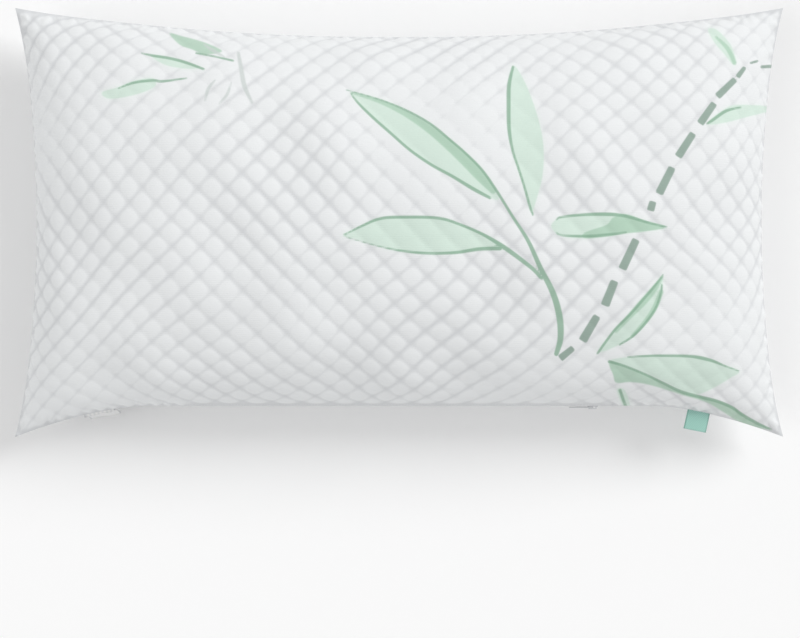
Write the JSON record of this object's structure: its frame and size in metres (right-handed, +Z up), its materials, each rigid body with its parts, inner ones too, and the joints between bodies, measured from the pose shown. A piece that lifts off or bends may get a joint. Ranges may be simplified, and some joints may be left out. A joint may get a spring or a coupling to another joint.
{
  "type": "bed pillow",
  "caption": "King-size bed pillow with a quilted zip-off knit cover over a zipped inner liner filled with shredded foam, lying flat.",
  "frame": {"origin": "middle of the pillow's footprint, on the surface that it lies on", "axes": "+X along the length, to the right as the printed face is seen; +Y across the width, away from the zips; +Z up through the printed face"},
  "size_m": [0.89, 0.497, 0.1799],
  "materials": {
    "knit_cover": "matte",
    "liner_fabric": "matte",
    "zip_tape": "matte",
    "zip_coil": "satin",
    "zip_stop": "satin",
    "zip_metal": "gloss",
    "care_label_satin": "satin",
    "side_tab_weave": "matte",
    "shredded_foam": "matte"
  },
  "bodies": {
    "pillow": {"cover_top_panel": "knit_cover", "cover_bottom_panel": "knit_cover", "cover_zip_tape_upper": "zip_tape", "cover_zip_tape_lower": "zip_tape", "cover_zip_coil_upper": "zip_coil", "cover_zip_coil_lower": "zip_coil", "cover_zip_top_stops": "zip_stop", "cover_zip_bottom_stop": "zip_stop", "liner_top_panel": "liner_fabric", "liner_bottom_panel": "liner_fabric", "liner_zip_tape_upper": "zip_tape", "liner_zip_tape_lower": "zip_tape", "liner_zip_coil_upper": "zip_coil", "liner_zip_coil_lower": "zip_coil", "liner_zip_top_stops": "zip_stop", "liner_zip_bottom_stop": "zip_stop", "care_label": "care_label_satin", "side_tab": "side_tab_weave", "shredded_foam_fill": "shredded_foam"},
    "cover_zip_slider": {"cover_zip_slider": "zip_metal"},
    "cover_zip_pull": {"cover_zip_pull": "zip_metal"},
    "liner_zip_slider": {"liner_zip_slider": "zip_metal"},
    "liner_zip_pull": {"liner_zip_pull": "zip_metal"}
  },
  "joints": [
    {"name": "cover_zip_slide", "type": "slide", "parent": "pillow", "child": "cover_zip_slider", "axis": [-1, 0, 0], "range_m": [0, 0.4435]},
    {"name": "cover_pull_flip", "type": "hinge", "parent": "cover_zip_slider", "child": "cover_zip_pull", "pos_m": [0.2219, -0.2132, 0.075], "axis": [0, 0, 1], "range_deg": [0, 175]},
    {"name": "liner_zip_slide", "type": "slide", "parent": "pillow", "child": "liner_zip_slider", "axis": [-1, 0, 0], "range_m": [0, 0.4435]},
    {"name": "liner_pull_flip", "type": "hinge", "parent": "liner_zip_slider", "child": "liner_zip_pull", "pos_m": [0.2219, -0.1942, 0.075], "axis": [0, 0, 1], "range_deg": [0, 12]}
  ]
}
